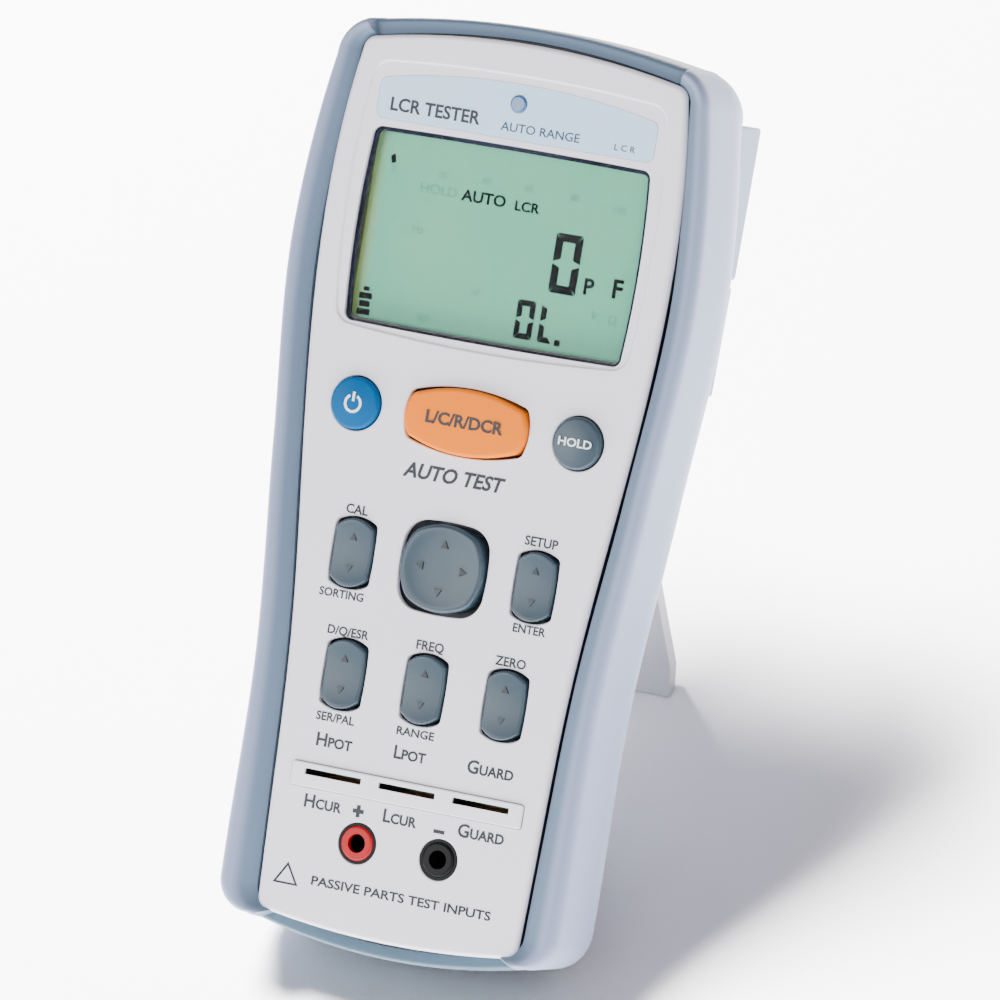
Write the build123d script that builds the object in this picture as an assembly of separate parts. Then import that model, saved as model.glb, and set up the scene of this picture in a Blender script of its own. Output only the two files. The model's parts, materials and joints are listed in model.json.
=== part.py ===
from build123d import *
import os
from functools import cache

# Handheld LCR meter in a soft boot, standing on its tilt stand.
# Everything is drawn in the meter's own frame: x to the right of the face, y towards the display end,
# z straight out of the face, face at z = 0, origin at mid length. It is leaned back at the very end.

# ---------------------------------------------------------------- driving dimensions, mm
LEAN = 45.0  # angle between the face and the bench
LENGTH = 198.0  # over the boot
END_SAG_TOP = 3.0  # how far the boot's top end falls from the middle to the corners
END_SAG_BOTTOM = 4.2
BOOT_BACK = -32.5  # back of the boot
BOOT_FRONT = 1.3  # ridge of the wings above the face
BOOT_WALL = 3.2
SIDE_ROUND = 20.0  # rounding of the long back edges
END_ROUND = 18.0  # rounding of the two end back edges
CORNER_TOP = 9.0  # corners in plan
CORNER_BOTTOM = 7.0
# half width of the boot at distance y from the middle: (half width, y)
BOOT_SIDE = [(39.6, -106.0), (40.0, -85.0), (40.2, -40.0), (44.0, 5.0), (47.2, 50.0), (43.9, 84.0), (39.0, 106.0)]
# half width of the white face
FACE_SIDE = [(30.4, -93.0), (31.2, -70.0), (32.8, -34.0), (37.0, 5.0), (40.4, 47.0), (37.2, 91.6)]
FACE_TOP = 95.4
FACE_BOTTOM = -95.5
FACE_CORNER = 3.0
FIT_GAP = 0.15  # boot to case
GROOVE = 0.8  # dark groove between face and wing
SHOULDER = -4.0  # step under the wings on which the boot's lip sits
STRIP_DROP = -1.4  # top of the boot's end strips
PARTING = -14.0  # joint between front cover and rear case
CASE_BACK = -30.5
WALL = 2.0
SKIN = 2.2  # thickness of the face

WINDOW_SIZE = (66.0, 41.8)
WINDOW_Y = 52.8
WINDOW_THICK = 0.95
WINDOW_SEAT = -1.6
WINDOW_LEDGE = 0.85
MASK_THICK = 0.12
MASK_BORDER = 0.8
PANEL_SIZE = (71.4, 58.6)  # shallow sunk panel around the display and the header
PANEL_Y = 59.4
PANEL_DEPTH = 0.4
LABEL_HALF = 32.2
LABEL_LOW = 75.2
LABEL_SIDE = 83.6
LABEL_TOP = 86.9
STATUS_AT = (0.0, 82.7)
STATUS_RADIUS = 1.9

BOARD_TOP = -8.4
BOARD_THICK = 1.6
KEY_GAP = 0.45  # cover to key, all round
KEY_PROUD = 1.2
FLANGE = 1.0
STEM_END = -6.8
ROCKER_PIVOT_Z = -3.7
ROCKER_SIZE = (9.2, 14.6)
ROCKERS = {
    "calibrate_rocker": (-21.3, -15.9),
    "setup_rocker": (21.3, -15.9),
    "parameter_rocker": (-18.8, -41.4),
    "frequency_rocker": (0.0, -41.4),
    "zero_rocker": (18.8, -41.4),
}
PAD_SIZE = (19.3, 18.6)
PAD_Y = -15.7
PAD_PIVOT_Z = -4.7
ROUND_KEY_RADIUS = 5.4
ROUND_KEY_X = 25.9
ROUND_KEY_Y = 15.2
AUTO_SIZE = (28.0, 13.6)

SLOT_PAD = (54.0, 5.1)
SLOT_PAD_Y = -63.6
SLOT_Y = -62.9
SLOT_PITCH = 17.3
SLOT_SIZE = (13.2, 1.3)
JACK_X = 9.525  # half of the standard 19.05 mm spacing
JACK_Y = -75.8
JACK_BORE = 2.0
SLEEVE_RADIUS = 3.0
SLEEVE_END = -20.0
COLLAR_RADIUS = 3.7
WELL_RADIUS = 4.35

CASE_SCREWS = [(33.0, 84.5), (-33.0, 84.5), (24.0, -86.5), (-24.0, -86.5)]
BOARD_SCREWS = [(34.5, 25.0), (-34.5, 25.0), (24.0, -54.6), (-24.0, -54.6)]
BOSS = 3.2
SCREW = 1.25

BATTERY = (26.5, 48.5, 17.5)
BATTERY_Y = 58.5
BATTERY_Z = -19.5
BATTERY_GAP = 0.1
DOOR_SIZE = (45.0, 45.0)
DOOR_Y = 57.0
DOOR_SCREW_X = 18.6
WINDOW_BACK = (51.0, 146.0)  # opening in the boot's back
WINDOW_BACK_Y = 10.0

HINGE_Y = 28.0
HINGE_Z = -29.5
STAND_OPEN = 40.5  # degrees from folded
STAND_WIDTH = 41.0
STAND_LEG = 79.5
STAND_THICK = 3.0
FOOT_TURN = 28.0  # bend of the foot back towards the case
FOOT_LENGTH = 6.5
BARREL = 3.0
PIN_RADIUS = 1.5
FLOOR = 85.5  # bench plane's distance from the origin, square to the bench

CHANNEL = 4.2  # radius of the probe rests' channel
REST_IN = 27.3
REST_OUT = 38.2
REST_BLOCKS = [(53.0, 85.5, -39.6, -40.6), (28.0, 51.6, -37.4, -38.6)]


# ---------------------------------------------------------------- shared outlines and solids
def mirrored_pair(stations, grow):
    right = Spline(*[(x + grow, y) for x, y in stations])
    left = Spline(*[(-x - grow, y) for x, y in stations])
    return right, left


def side_plan(stations, grow, top, bottom, sag_top, sag_bottom):
    """Plan outline: two waisted sides closed by shallow arcs at both ends."""
    right, left = mirrored_pair(stations, grow)
    ends = [
        ThreePointArc(right @ 1, (0, top), left @ 1) if sag_top else Line(right @ 1, left @ 1),
        ThreePointArc(left @ 0, (0, bottom), right @ 0) if sag_bottom else Line(left @ 0, right @ 0),
    ]
    return make_face([right, ends[0], left, ends[1]])


def slab(face, low, high):
    return extrude(Pos(0, 0, low) * face, high - low)


def bulged(width, height, side_bow, end_bow, corner):
    """Rectangle with bowed sides and ends and round corners; width and height are over the bows."""
    x = width / 2 - side_bow
    y = height / 2 - end_bow
    right = ThreePointArc((x, -y), (x + side_bow, 0), (x, y))
    top = ThreePointArc((x, y), (0, y + end_bow), (-x, y))
    left = ThreePointArc((-x, y), (-x - side_bow, 0), (-x, -y))
    bottom = ThreePointArc((-x, -y), (0, -y - end_bow), (x, -y))
    face = make_face([right, top, left, bottom])
    return fillet(face.vertices(), corner)


def end_plan(inset):
    """Plan that trims the ends: arcs across and round corners, a little wider than the sides."""
    spare = 0.6
    grow = spare - inset
    top = LENGTH / 2 - inset
    top_corner = top - END_SAG_TOP
    bottom_corner = -top + END_SAG_BOTTOM
    half_top = 42.5 + grow
    half_bottom = 39.9 + grow
    stations = [(x + grow, y) for x, y in BOOT_SIDE if bottom_corner < y < top_corner]
    stations = [(half_bottom, bottom_corner), *stations, (half_top, top_corner)]
    face = side_plan(stations, 0, top, -top, True, True)
    high = [v for v in face.vertices() if v.Y > 0]
    face = fillet(high, CORNER_TOP - inset / 2)
    low = [v for v in face.vertices() if v.Y < -80 and abs(abs(v.X) - half_bottom) < 0.01]
    return fillet(low, CORNER_BOTTOM - inset / 2)


@cache
def full_block(inset):
    """The boot's rounded outer form, drawn in by inset on every side, up to its front ridge."""
    back = BOOT_BACK + inset
    body = slab(side_plan(BOOT_SIDE, -inset, 0, 0, False, False), back, BOOT_FRONT)
    long_edges = body.edges().filter_by(lambda e: e.length > 150 and abs(e.center().Z - back) < 0.01)
    body = fillet(long_edges, SIDE_ROUND - inset)
    reach = LENGTH / 2 - inset + 0.4
    profile = Plane.YZ * Pos(0, (back + BOOT_FRONT) / 2) * Rectangle(2 * reach, BOOT_FRONT - back)
    profile = extrude(profile, 60, both=True)
    back_edges = profile.edges().filter_by(Axis.X).filter_by(lambda e: abs(e.center().Z - back) < 0.01)
    profile = fillet(back_edges, END_ROUND - inset)
    return body & profile & slab(end_plan(inset), back, BOOT_FRONT)


def rounded_block(inset, back, front):
    """The part of the drawn-in form that lies between two heights."""
    low = max(back, BOOT_BACK + inset - 1)
    return full_block(inset) & Pos(0, 0, (low + front) / 2) * Box(120, 240, front - low)


def face_plan(grow):
    return side_plan(FACE_SIDE, grow, FACE_TOP + grow, FACE_BOTTOM - grow, True, True)


def cylinders(centres, radius, low, high):
    length = high - low
    return [Pos(x, y, low + length / 2) * Cylinder(radius, length) for x, y in centres]


def rocker_face(grow):
    width, height = ROCKER_SIZE
    return bulged(width + 2 * grow, height + 2 * grow, 0.25, 1.4, 1.0 + grow / 2)


def pad_face(grow):
    width, height = PAD_SIZE
    return bulged(width + 2 * grow, height + 2 * grow, 0.9, 0.9, 5.0 + grow / 2)


def auto_face(grow):
    width, height = AUTO_SIZE
    return bulged(width + 2 * grow, height + 2 * grow, 1.0, 2.2, 1.6 + grow / 2)


# ---------------------------------------------------------------- casing
def front_cover():
    case = rounded_block(BOOT_WALL, PARTING, SHOULDER)
    face = slab(face_plan(0), SHOULDER - 1, 0)
    corners = face.edges().filter_by(Axis.Z)
    face = fillet(corners, FACE_CORNER)
    face = fillet(face.faces().sort_by(Axis.Z)[-1].edges(), 1.0)
    cover = case + face
    inner = rounded_block(BOOT_WALL + WALL, PARTING, SHOULDER - WALL)
    cover -= inner + slab(face_plan(-SKIN), SHOULDER - WALL - 0.1, -SKIN)
    cover += cylinders(CASE_SCREWS, BOSS, PARTING, -SKIN)
    cover += cylinders(BOARD_SCREWS, BOSS - 0.6, BOARD_TOP, -SKIN)
    cover -= cylinders(CASE_SCREWS, SCREW, PARTING, -SKIN - 2)
    cover -= cylinders(BOARD_SCREWS, SCREW, BOARD_TOP, -SKIN - 1)
    panel = Pos(0, PANEL_Y, 0) * slab(bulged(*PANEL_SIZE, 2.0, 1.6, 4.0), -PANEL_DEPTH, 1)
    cover -= fillet(panel.faces().sort_by(Axis.Z)[0].edges(), 0.3)
    width, height = WINDOW_SIZE
    window = bulged(width + 0.3, height + 0.3, 1.0, 0.4, 2.0)
    cover -= Pos(0, WINDOW_Y, 0) * slab(window, WINDOW_SEAT, 1)
    view = bulged(width - 2 * WINDOW_LEDGE, height - 2 * WINDOW_LEDGE, 0.9, 0.3, 1.0)
    cover -= Pos(0, WINDOW_Y, 0) * slab(view, -SKIN - 3, 1)
    cover -= slab(label_face(0.1), -PANEL_DEPTH - 0.3, 1)
    cover -= cylinders([STATUS_AT], STATUS_RADIUS + 0.05, -SKIN - 1, 1)
    openings = [Pos(x, y) * rocker_face(KEY_GAP) for x, y in ROCKERS.values()]
    openings.append(Pos(0, PAD_Y) * pad_face(KEY_GAP + 0.1))
    openings.append(Pos(0, ROUND_KEY_Y) * auto_face(KEY_GAP))
    openings.append(Pos(ROUND_KEY_X, ROUND_KEY_Y) * Circle(ROUND_KEY_RADIUS + KEY_GAP))
    openings.append(Pos(-ROUND_KEY_X, ROUND_KEY_Y) * Circle(ROUND_KEY_RADIUS + KEY_GAP))
    openings.append(Pos(0, SLOT_PAD_Y) * RectangleRounded(SLOT_PAD[0] + 0.2, SLOT_PAD[1] + 0.2, 0.7))
    openings += [Pos(x, JACK_Y) * Circle(WELL_RADIUS + 0.05) for x in (-JACK_X, JACK_X)]
    for opening in openings:
        cover -= slab(opening, -SKIN - 1, 1)
    rims = [wire.edges() for wire in cover.faces().sort_by(Axis.Z)[-1].inner_wires()]
    rims = [edge for edges in rims for edge in edges]
    return fillet(rims, 0.3)


def label_face(grow):
    """Strip with a straight foot and an arched top."""
    half = LABEL_HALF + grow
    low = LABEL_LOW - grow
    side = LABEL_SIDE + grow
    arch = ThreePointArc((half, side), (0, LABEL_TOP + grow), (-half, side))
    sides = [Line((half, low), (half, side)), Line((-half, side), (-half, low))]
    face = make_face([Line((-half, low), (half, low)), sides[0], arch, sides[1]])
    return fillet(face.vertices(), 1.8 + grow)


def rear_case():
    case = rounded_block(BOOT_WALL, CASE_BACK, PARTING)
    case -= rounded_block(BOOT_WALL + WALL, CASE_BACK + WALL, PARTING)
    bosses = cylinders(CASE_SCREWS, BOSS + 0.4, CASE_BACK + 6, PARTING)
    case += [boss & rounded_block(BOOT_WALL + 0.5, CASE_BACK, PARTING) for boss in bosses]
    case += battery_box()
    floor = HINGE_Z + STAND_THICK / 2 + 0.4
    length = STAND_LEG + FOOT_LENGTH
    middle = HINGE_Y - length / 2
    thick = floor + WALL - CASE_BACK
    lining = Pos(0, middle + 3, CASE_BACK + thick / 2) * Box(STAND_WIDTH + 8, length + 16, thick)
    lining += Pos(0, HINGE_Y, HINGE_Z + 1) * Rot(0, 90, 0) * Cylinder(BARREL + 2.6, STAND_WIDTH + 8)
    lining += Pos(0, HINGE_Y - length + 4, -24.6) * Box(STAND_WIDTH + 8, 17, 6)
    case += lining & rounded_block(BOOT_WALL + 0.1, CASE_BACK, PARTING)
    cut_depth = floor - CASE_BACK + 4
    case -= Pos(0, middle - 0.5, floor - cut_depth / 2) * Box(STAND_WIDTH + 0.8, length + 1.4, cut_depth)
    case -= Pos(0, HINGE_Y, HINGE_Z) * Rot(0, 90, 0) * Cylinder(BARREL + 0.4, STAND_WIDTH + 0.8)
    case -= Pos(0, HINGE_Y, HINGE_Z - 4) * Box(STAND_WIDTH + 0.8, 2 * BARREL + 0.8, 8)
    case -= Pos(0, HINGE_Y - length + 4.2, -26.6) * Box(STAND_WIDTH + 0.8, 12, 6)
    case -= Pos(0, HINGE_Y, HINGE_Z) * Rot(0, 90, 0) * Cylinder(PIN_RADIUS + 0.01, STAND_WIDTH + 7)
    case -= Pos(0, DOOR_Y, CASE_BACK) * Box(DOOR_SIZE[0] + 0.4, DOOR_SIZE[1] + 0.4, 2 * WALL)
    case -= battery_space()
    for x in (-DOOR_SCREW_X, DOOR_SCREW_X):
        case -= Pos(x, DOOR_Y, -24) * Cylinder(SCREW, 9)
    case -= cylinders(CASE_SCREWS, SCREW + 0.3, -40, PARTING)
    case -= cylinders(CASE_SCREWS, 2.7, -40, -22)
    return case


def battery_box():
    """Walls of the battery compartment, with a boss each side for the door's screws."""
    width, length, depth = BATTERY
    top = BATTERY_Z + depth / 2 + BATTERY_GAP + 0.55
    low = CASE_BACK + 0.5
    middle = Pos(0, BATTERY_Y + 1.8, (top + low) / 2)
    box = middle * Box(width + 4, length + 8.2, top - low)
    box += Pos(0, DOOR_Y, low + 4) * Box(DOOR_SIZE[0] + 3, DOOR_SIZE[1] + 3, 8)
    return box & rounded_block(BOOT_WALL + 0.5, CASE_BACK, PARTING + 4)


def battery_space():
    width, length, depth = BATTERY
    low = BATTERY_Z - depth / 2 - 3
    high = BATTERY_Z + depth / 2 + BATTERY_GAP
    room = Pos(0, BATTERY_Y + 1.8, (low + high) / 2) * Box(width + 0.8, length + 4.6, high - low)
    return room & rounded_block(BOOT_WALL + WALL / 2 - 0.1, CASE_BACK - 2, 0)


def battery_door():
    door = Pos(0, DOOR_Y, CASE_BACK + WALL / 2) * Box(*DOOR_SIZE, WALL)
    door = fillet(door.edges().filter_by(Axis.Z), 1.0)
    for x in (-DOOR_SCREW_X, DOOR_SCREW_X):
        door -= Pos(x, DOOR_Y, CASE_BACK) * Cylinder(SCREW + 0.3, 9)
        door -= Pos(x, DOOR_Y, CASE_BACK) * Cylinder(2.6, 1.6)
    for row in range(5):
        door -= Pos(0, DOOR_Y - 14.5 + 2.4 * row, CASE_BACK) * Box(16, 1.0, 1.0)
    return door


def holster():
    boot = rounded_block(0, BOOT_BACK, BOOT_FRONT)
    boot += [rest for block in REST_BLOCKS for rest in probe_rest(*block)]
    boot -= rounded_block(BOOT_WALL - FIT_GAP, CASE_BACK - FIT_GAP, SHOULDER + 0.05)
    opening = fillet(slab(face_plan(GROOVE), SHOULDER, BOOT_FRONT + 1).edges().filter_by(Axis.Z), FACE_CORNER)
    boot -= opening
    for y in (LENGTH / 2, -LENGTH / 2):
        boot -= Pos(0, y, STRIP_DROP + 5) * Box(73.5 if y > 0 else 62, 18, 10)
    width, height = WINDOW_BACK
    boot -= slab(Pos(0, WINDOW_BACK_Y) * RectangleRounded(width, height, 4), BOOT_BACK - 1, CASE_BACK + 6)
    boot -= Rot(-LEAN, 0, 0) * Pos(0, 0, -FLOOR - 25) * Box(200, 400, 50)
    return boot


def probe_rest(low_y, high_y, low_z, high_z):
    """One raised block each side of the back, with a shallow channel along it."""
    outline = [(low_y, -24), (low_y, low_z), (high_y, high_z), (high_y, -24)]
    profile = Plane.YZ * make_face(Polyline(*outline, close=True))
    block = Pos(REST_IN, 0, 0) * extrude(profile, REST_OUT - REST_IN)
    block = fillet(block.edges().filter_by(Axis.Z).sort_by(Axis.X)[-2:], 1.5)
    middle = (REST_IN + REST_OUT) / 2
    channel = Rot(90, 0, 0) * Cylinder(CHANNEL, 200)
    block -= Pos(middle, 57, high_z - 1.2) * channel
    core = rounded_block(BOOT_WALL - FIT_GAP, CASE_BACK - FIT_GAP, SHOULDER)
    block -= core
    return block, mirror(block, Plane.YZ)


# ---------------------------------------------------------------- stand
def tilt_stand():
    """Plate drawn folded flat and then swung open about the hinge."""
    leg = Pos(0, -STAND_LEG / 2, 0) * Box(STAND_WIDTH, STAND_LEG, STAND_THICK)
    leg += Rot(0, 90, 0) * Cylinder(BARREL, STAND_WIDTH)
    foot = Pos(0, -FOOT_LENGTH / 2, 0) * Box(STAND_WIDTH, FOOT_LENGTH, STAND_THICK)
    leg += Pos(0, -STAND_LEG, 0) * Rot(-FOOT_TURN, 0, 0) * foot
    leg += Pos(0, -STAND_LEG, 0) * Rot(0, 90, 0) * Cylinder(STAND_THICK / 2, STAND_WIDTH)
    for side in (-1, 1):
        pocket = Box(STAND_WIDTH - 8, STAND_LEG - 20, 2.0)
        pocket = fillet(pocket.edges().filter_by(Axis.Z), 3.0)
        leg -= Pos(0, -STAND_LEG / 2 - 2, side * 1.7) * pocket
    leg -= Rot(0, 90, 0) * Cylinder(PIN_RADIUS + 0.06, STAND_WIDTH + 2)
    stand = Pos(0, HINGE_Y, HINGE_Z) * Rot(STAND_OPEN, 0, 0) * leg
    stand -= Rot(-LEAN, 0, 0) * Pos(0, 0, -FLOOR - 25) * Box(200, 400, 50)
    return stand


def stand_hinge_pin():
    return Pos(0, HINGE_Y, HINGE_Z) * Rot(0, 90, 0) * Cylinder(PIN_RADIUS, STAND_WIDTH + 6.6)


# ---------------------------------------------------------------- fasteners
def screw(x, y, head_low, tip, head_radius):
    head = Pos(x, y, head_low + 0.9) * Cylinder(head_radius, 1.8)
    shank = Pos(x, y, (head_low + tip) / 2) * Cylinder(SCREW - 0.05, abs(tip - head_low))
    cross = Pos(x, y, head_low) * (Box(2.6, 0.6, 1.4) + Box(0.6, 2.6, 1.4))
    return head + shank - cross


def case_screws():
    return [screw(x, y, -23.8, -6.0, 2.4) for x, y in CASE_SCREWS]


def board_screws():
    low = BOARD_TOP - BOARD_THICK - 1.8
    return [screw(x, y, low, -4.0, 2.2) for x, y in BOARD_SCREWS]


def battery_door_screws():
    return [screw(x, DOOR_Y, CASE_BACK - 1.0, -21.0, 2.4) for x in (-DOOR_SCREW_X, DOOR_SCREW_X)]


# ---------------------------------------------------------------- display
def display_window():
    width, height = WINDOW_SIZE
    top = WINDOW_SEAT + MASK_THICK + WINDOW_THICK
    plate = slab(bulged(width, height, 1.0, 0.4, 1.8), WINDOW_SEAT + MASK_THICK, top)
    plate = Pos(0, WINDOW_Y, 0) * plate
    return fillet(plate.faces().sort_by(Axis.Z)[-1].edges(), 0.3)


def frame_ring(outer, inner, low, high):
    ring = Pos(0, WINDOW_Y, (low + high) / 2) * Box(*outer, high - low)
    return ring - Pos(0, WINDOW_Y, (low + high) / 2) * Box(*inner, high - low + 2)


def display_mask():
    """Printed film between the window and its seat."""
    width, height = WINDOW_SIZE
    film = slab(bulged(width - 0.1, height - 0.1, 1.0, 0.4, 1.7), WINDOW_SEAT, WINDOW_SEAT + MASK_THICK)
    inner = bulged(width - 2 * MASK_BORDER, height - 2 * MASK_BORDER + 0.4, 0.95, 0.3, 1.2)
    return Pos(0, WINDOW_Y, 0) * (film - Pos(0, -0.2, 0) * slab(inner, -3, 0))


def display_glass():
    cell = Pos(0, WINDOW_Y, -4.35) * Box(66.0, 42.2, 2.0)
    return cell - Pos(0, WINDOW_Y - 21.6, -4.9) * Box(68, 5.0, 1.1)


def display_backlight():
    return Pos(0, WINDOW_Y, -6.7) * Box(61.0, 33.6, 2.5)


def display_frame():
    """Dark tray that holds the glass and the light guide on the board."""
    ring = frame_ring((69.4, 45.6), (66.2, 42.4), BOARD_TOP + 0.02, -3.3)
    ring += frame_ring((69.4, 45.6), (64.2, 40.2), -3.3, -SKIN - 0.05)
    return ring + frame_ring((67.0, 43.2), (58.0, 29.6), BOARD_TOP + 0.02, -8.05)


def zebra_strips():
    return [Pos(0, WINDOW_Y - 19.6, -6.7) * Box(56.0, 2.2, 2.6)]


def header_plate():
    plate = slab(label_face(0), -PANEL_DEPTH - 0.28, -PANEL_DEPTH + 0.04)
    return plate - Pos(*STATUS_AT, 0) * Cylinder(STATUS_RADIUS + 0.05, 4)


def status_lens():
    lens = Pos(*STATUS_AT, -1.3) * Cylinder(STATUS_RADIUS, 2.6)
    lens = fillet(lens.faces().sort_by(Axis.Z)[-1].edges(), 0.5)
    return lens + Pos(*STATUS_AT, -2.7) * Cylinder(STATUS_RADIUS + 0.8, 0.8)


def status_led():
    return Pos(*STATUS_AT, -5.8) * (Pos(0, 0, -1.0) * Box(5.0, 5.0, 3.0) + Cylinder(1.5, 4.6))


# ---------------------------------------------------------------- keys
def plunger_key(face, flange, x, stems):
    """Cap through the cover, with a flange behind it and one or more stems over the domes."""
    cap = slab(face, -2.5, KEY_PROUD)
    cap = fillet(cap.faces().sort_by(Axis.Z)[-1].edges(), 0.7)
    key = cap + slab(flange, -3.5, -2.5)
    for stem in stems:
        key += Pos(stem, 0, (STEM_END - 3.5) / 2) * Cylinder(1.8, -3.5 - STEM_END)
    return Pos(x, ROUND_KEY_Y, 0) * key


def round_key(x):
    return plunger_key(Circle(ROUND_KEY_RADIUS), Circle(ROUND_KEY_RADIUS + FLANGE), x, [0])


def auto_test_button():
    return plunger_key(auto_face(0), auto_face(FLANGE), 0, [-8, 8])


def rocker(x, y):
    cap = slab(rocker_face(0), -3.2, KEY_PROUD - 0.1)
    cap = fillet(cap.faces().sort_by(Axis.Z)[-1].edges(), 0.5)
    cap -= Pos(0, 0, KEY_PROUD + 39.6) * Rot(0, 90, 0) * Cylinder(40, 20)
    key = cap + slab(rocker_face(FLANGE), -4.2, -3.2)
    for side in (-4.5, 4.5):
        key += Pos(0, side, (STEM_END - 4.2) / 2) * Cylinder(1.5, -4.2 - STEM_END)
    key += Pos(0, 0, ROCKER_PIVOT_Z) * Rot(0, 90, 0) * Cylinder(0.5, ROCKER_SIZE[0] + 2 * FLANGE + 1.6)
    return Pos(x, y, 0) * key


def navigation_pad():
    cap = slab(pad_face(0), -3.4, KEY_PROUD + 0.1)
    cap = fillet(cap.faces().sort_by(Axis.Z)[-1].edges(), 0.8)
    pad = cap + slab(pad_face(FLANGE), -4.4, -3.4)
    pad += Pos(0, 0, -4.9) * Cylinder(1.6, 1.2)
    for x, y in ((6.2, 0), (-6.2, 0), (0, 6.2), (0, -6.2)):
        pad += Pos(x, y, (STEM_END - 4.4) / 2) * Cylinder(1.0, -4.4 - STEM_END)
    return Pos(0, PAD_Y, 0) * pad


def navigation_pivot():
    """Small gimbal ring between the pad and the board, inside the circle of the pad's stems."""
    ring = Pos(0, 0, -5.5) * (Cylinder(4.4, 0.9) - Cylinder(2.2, 2))
    ring += Pos(0, 0, -6.3) * (Cylinder(4.4, 0.9) - Cylinder(3.2, 2))
    return Pos(0, PAD_Y, 0) * ring


def key_positions():
    spots = [(x, y + side) for x, y in ROCKERS.values() for side in (-4.5, 4.5)]
    spots += [(6.2, PAD_Y), (-6.2, PAD_Y), (0, PAD_Y + 6.2), (0, PAD_Y - 6.2)]
    spots += [(x, ROUND_KEY_Y) for x in (-ROUND_KEY_X, -8, 8, ROUND_KEY_X)]
    return spots


def dome_sheet():
    sheet = Pos(0, -13.5, 0) * slab(RectangleRounded(58, 74, 3), BOARD_TOP + 0.02, BOARD_TOP + 0.27)
    for x, y in key_positions():
        sheet += Pos(x, y, BOARD_TOP + 0.4) * Cylinder(2.3, 0.4)
    return sheet


# ---------------------------------------------------------------- test connections
def slot_block():
    pad = slab(RectangleRounded(*SLOT_PAD, 0.6), -2.6, 0.5)
    pad = Pos(0, SLOT_PAD_Y, 0) * pad
    pad = fillet(pad.faces().sort_by(Axis.Z)[-1].edges(), 0.3)
    block = pad + Pos(0, SLOT_PAD_Y, -5.35) * Box(57, 9.6, 5.9)
    for column in (-1, 0, 1):
        x = column * SLOT_PITCH
        block -= Pos(x, SLOT_Y, -4) * Box(*SLOT_SIZE, 12)
        block -= Pos(x, SLOT_Y, -6) * Box(14.6, 4.6, 5.4)
    return block


def slot_contacts(column):
    """Two facing leaf springs, one each side of the slot, bowed towards each other."""
    leaves = []
    for side in (-1, 1):
        leaf = Pos(0, side * 1.75, BOARD_TOP + 2.3) * Box(12.6, 0.3, 4.6)
        bow = Pos(0, side * 1.1, -4.6) * Rot(side * -28, 0, 0) * Box(12.6, 0.3, 2.4)
        leaves.append(leaf + bow)
    return [Pos(column * SLOT_PITCH, SLOT_Y, 0) * leaf for leaf in leaves]


def jack_collar(x):
    """Insulator round the sleeve, with a foot behind the cover and a lip over the sleeve's mouth."""
    collar = Pos(0, 0, -3.9) * Cylinder(COLLAR_RADIUS, 8.4)
    collar = fillet(collar.faces().sort_by(Axis.Z)[-1].edges(), 0.6)
    collar += Pos(0, 0, -5.9) * Cylinder(WELL_RADIUS + 0.8, 4.4)
    collar -= Pos(0, 0, -5) * Cylinder(JACK_BORE, 12)
    collar -= Pos(0, 0, -5.05) * Cylinder(SLEEVE_RADIUS + 0.02, 7.9)
    return Pos(x, JACK_Y, 0) * collar


def jack_wells():
    """Black liner rings between the cover's holes and the insulators."""
    ring = Pos(0, 0, -1.85) * (Cylinder(WELL_RADIUS, 3.5) - Cylinder(COLLAR_RADIUS + 0.03, 5))
    return [Pos(x, JACK_Y, 0) * ring for x in (-JACK_X, JACK_X)]


def jack_sleeve(x):
    length = -1.15 - SLEEVE_END
    middle = (SLEEVE_END - 1.15) / 2
    sleeve = Pos(0, 0, middle) * Cylinder(SLEEVE_RADIUS, length)
    sleeve -= Pos(0, 0, middle + 1) * Cylinder(JACK_BORE, length)
    return Pos(x, JACK_Y, 0) * sleeve


# ---------------------------------------------------------------- electronics
def main_board():
    stations = [(28.0, -81.5), (31.5, -40.0), (37.5, 8.0), (38.4, 52.0), (34.5, 87.0)]
    plan = side_plan(stations, 0, 0, 0, False, False)
    board = slab(plan, BOARD_TOP - BOARD_THICK, BOARD_TOP)
    board -= cylinders(CASE_SCREWS, BOSS + 0.6, -12, 0)
    board -= cylinders(BOARD_SCREWS, SCREW + 0.1, -12, 0)
    board -= cylinders([(JACK_X, JACK_Y), (-JACK_X, JACK_Y)], SLEEVE_RADIUS + 0.04, -12, 0)
    return board


def on_board_back(shape, x, y, height):
    return Pos(x, y, BOARD_TOP - BOARD_THICK - height / 2) * shape


def measuring_chip():
    return on_board_back(Box(14, 14, 1.6), 0, 8, 1.6)


def support_chips():
    spots = [(-20, 4), (20, 4), (-20, -12), (20, -12), (0, -14)]
    return [on_board_back(Box(6.0, 9.0, 1.5), x, y, 1.5) for x, y in spots]


def crystal_can():
    can = on_board_back(Box(11.0, 4.6, 3.4), 0, -24, 3.4)
    return fillet(can.edges().filter_by(Axis.Z), 2.0)


def range_relays():
    return [on_board_back(Box(9.0, 12.0, 6.0), x, -44, 6.0) for x in (-14, 0, 14)]


def smoothing_capacitors():
    return [on_board_back(Cylinder(4.0, 9.0), x, -30, 9.0) for x in (-24, 24)]


def buzzer():
    case = Cylinder(8.0, 5.0) - Pos(0, 0, -2) * Cylinder(1.2, 3)
    return on_board_back(case, -18, -64, 5.0)


def input_fuse():
    fuse = on_board_back(Rot(0, 90, 0) * Cylinder(2.6, 20), 14, -62, 9.0)
    return fuse


def fuse_clips():
    clips = []
    for x in (6.4, 21.6):
        clip = on_board_back(Box(4.0, 7.0, 7.6), x, -62, 7.6)
        clip -= on_board_back(Rot(0, 90, 0) * Cylinder(2.63, 22), 14, -62, 9.0)
        clip -= on_board_back(Box(6.0, 4.2, 8.0), x, -62, 12.4)
        clips.append(clip)
    return clips


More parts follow.
